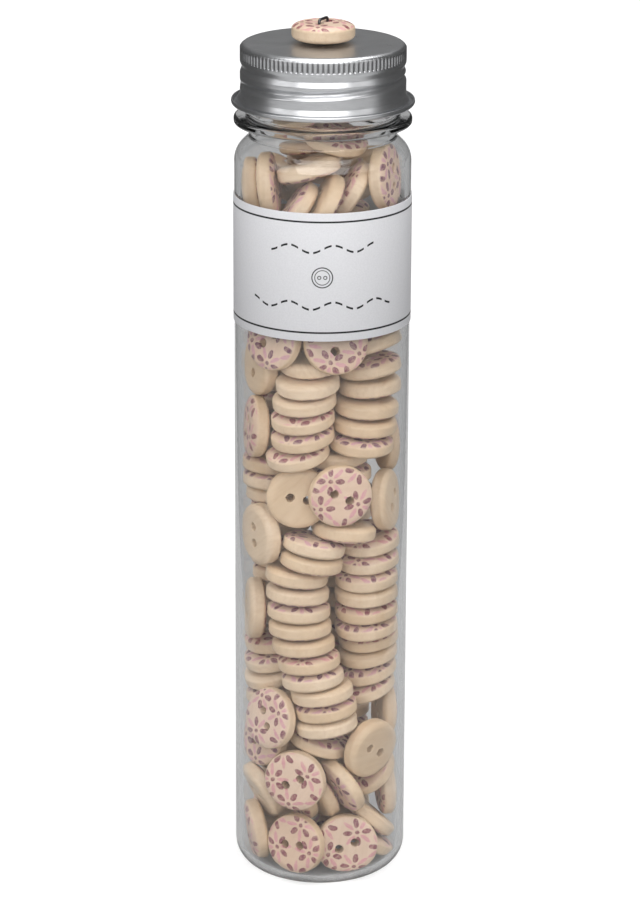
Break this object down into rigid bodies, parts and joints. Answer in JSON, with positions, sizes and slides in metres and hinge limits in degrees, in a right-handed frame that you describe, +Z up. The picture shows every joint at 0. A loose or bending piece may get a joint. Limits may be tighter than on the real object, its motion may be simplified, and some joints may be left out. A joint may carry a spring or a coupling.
{
  "type": "screw-cap tube jar of wooden buttons",
  "caption": "Tall clear tube jar with a metal screw cap and paper band, filled with printed two-hole wooden buttons, one wired on the lid as a sample.",
  "frame": {"origin": "middle of the jar's base, on the surface it stands on", "axes": "+Z up along the jar's axis, -Y is the front of the jar in the picture"},
  "size_m": [0.0434, 0.0434, 0.2139],
  "materials": {
    "clear_plastic": "clear moulded plastic",
    "paper": "white paper",
    "cap_metal": "satin rolled sheet",
    "liner_foam": "foamed plastic",
    "wire_metal": "bare wire",
    "wood": "satin varnish with a print"
  },
  "bodies": {
    "jar_body": {"button_base_01": "wood", "button_base_02": "wood", "button_base_03": "wood", "button_base_04": "wood", "button_base_05": "wood", "button_base_06": "wood", "button_base_07": "wood", "button_base_08": "wood", "button_base_09": "wood", "button_base_10": "wood", "button_base_11": "wood", "button_base_12": "wood", "button_base_13": "wood", "button_base_14": "wood", "button_base_15": "wood", "button_base_16": "wood", "button_base_17": "wood", "button_lower_01": "wood", "button_lower_02": "wood", "button_middle_01": "wood", "button_middle_02": "wood", "button_middle_03": "wood", "button_middle_04": "wood", "button_middle_05": "wood", "button_middle_06": "wood", "button_middle_07": "wood", "button_top_01": "wood", "button_top_02": "wood", "button_top_03": "wood", "button_top_04": "wood", "button_top_05": "wood", "button_top_06": "wood", "button_top_07": "wood", "button_top_08": "wood", "button_top_09": "wood", "button_top_10": "wood", "button_top_11": "wood", "button_top_12": "wood", "button_top_13": "wood", "button_top_14": "wood", "button_upper_01": "wood", "button_upper_02": "wood", "button_upper_03": "wood", "button_upper_04": "wood", "jar": "clear_plastic", "label_band": "paper", "stacks_base": "wood", "stacks_label": "wood", "stacks_lower_back": "wood", "stacks_lower_front": "wood", "stacks_middle": "wood", "stacks_upper": "wood"},
    "seal": {"cap_liner": "liner_foam"},
    "cap": {"screw_cap": "cap_metal", "sample_button": "wood", "button_wire": "wire_metal"}
  },
  "joints": [
    {"name": "cap_lift", "type": "slide", "parent": "jar_body", "child": "seal", "axis": [0, 0, 1], "range_m": [0, 0.0053]},
    {"name": "cap_turn", "type": "hinge", "parent": "seal", "child": "cap", "pos_m": [0, 0, 0.2], "axis": [0, 0, 1], "range_deg": [0, 450]}
  ],
  "couplings": [
    {"joint": "cap_lift", "follows": "cap_turn", "m_per_rad": 0.00067322}
  ]
}
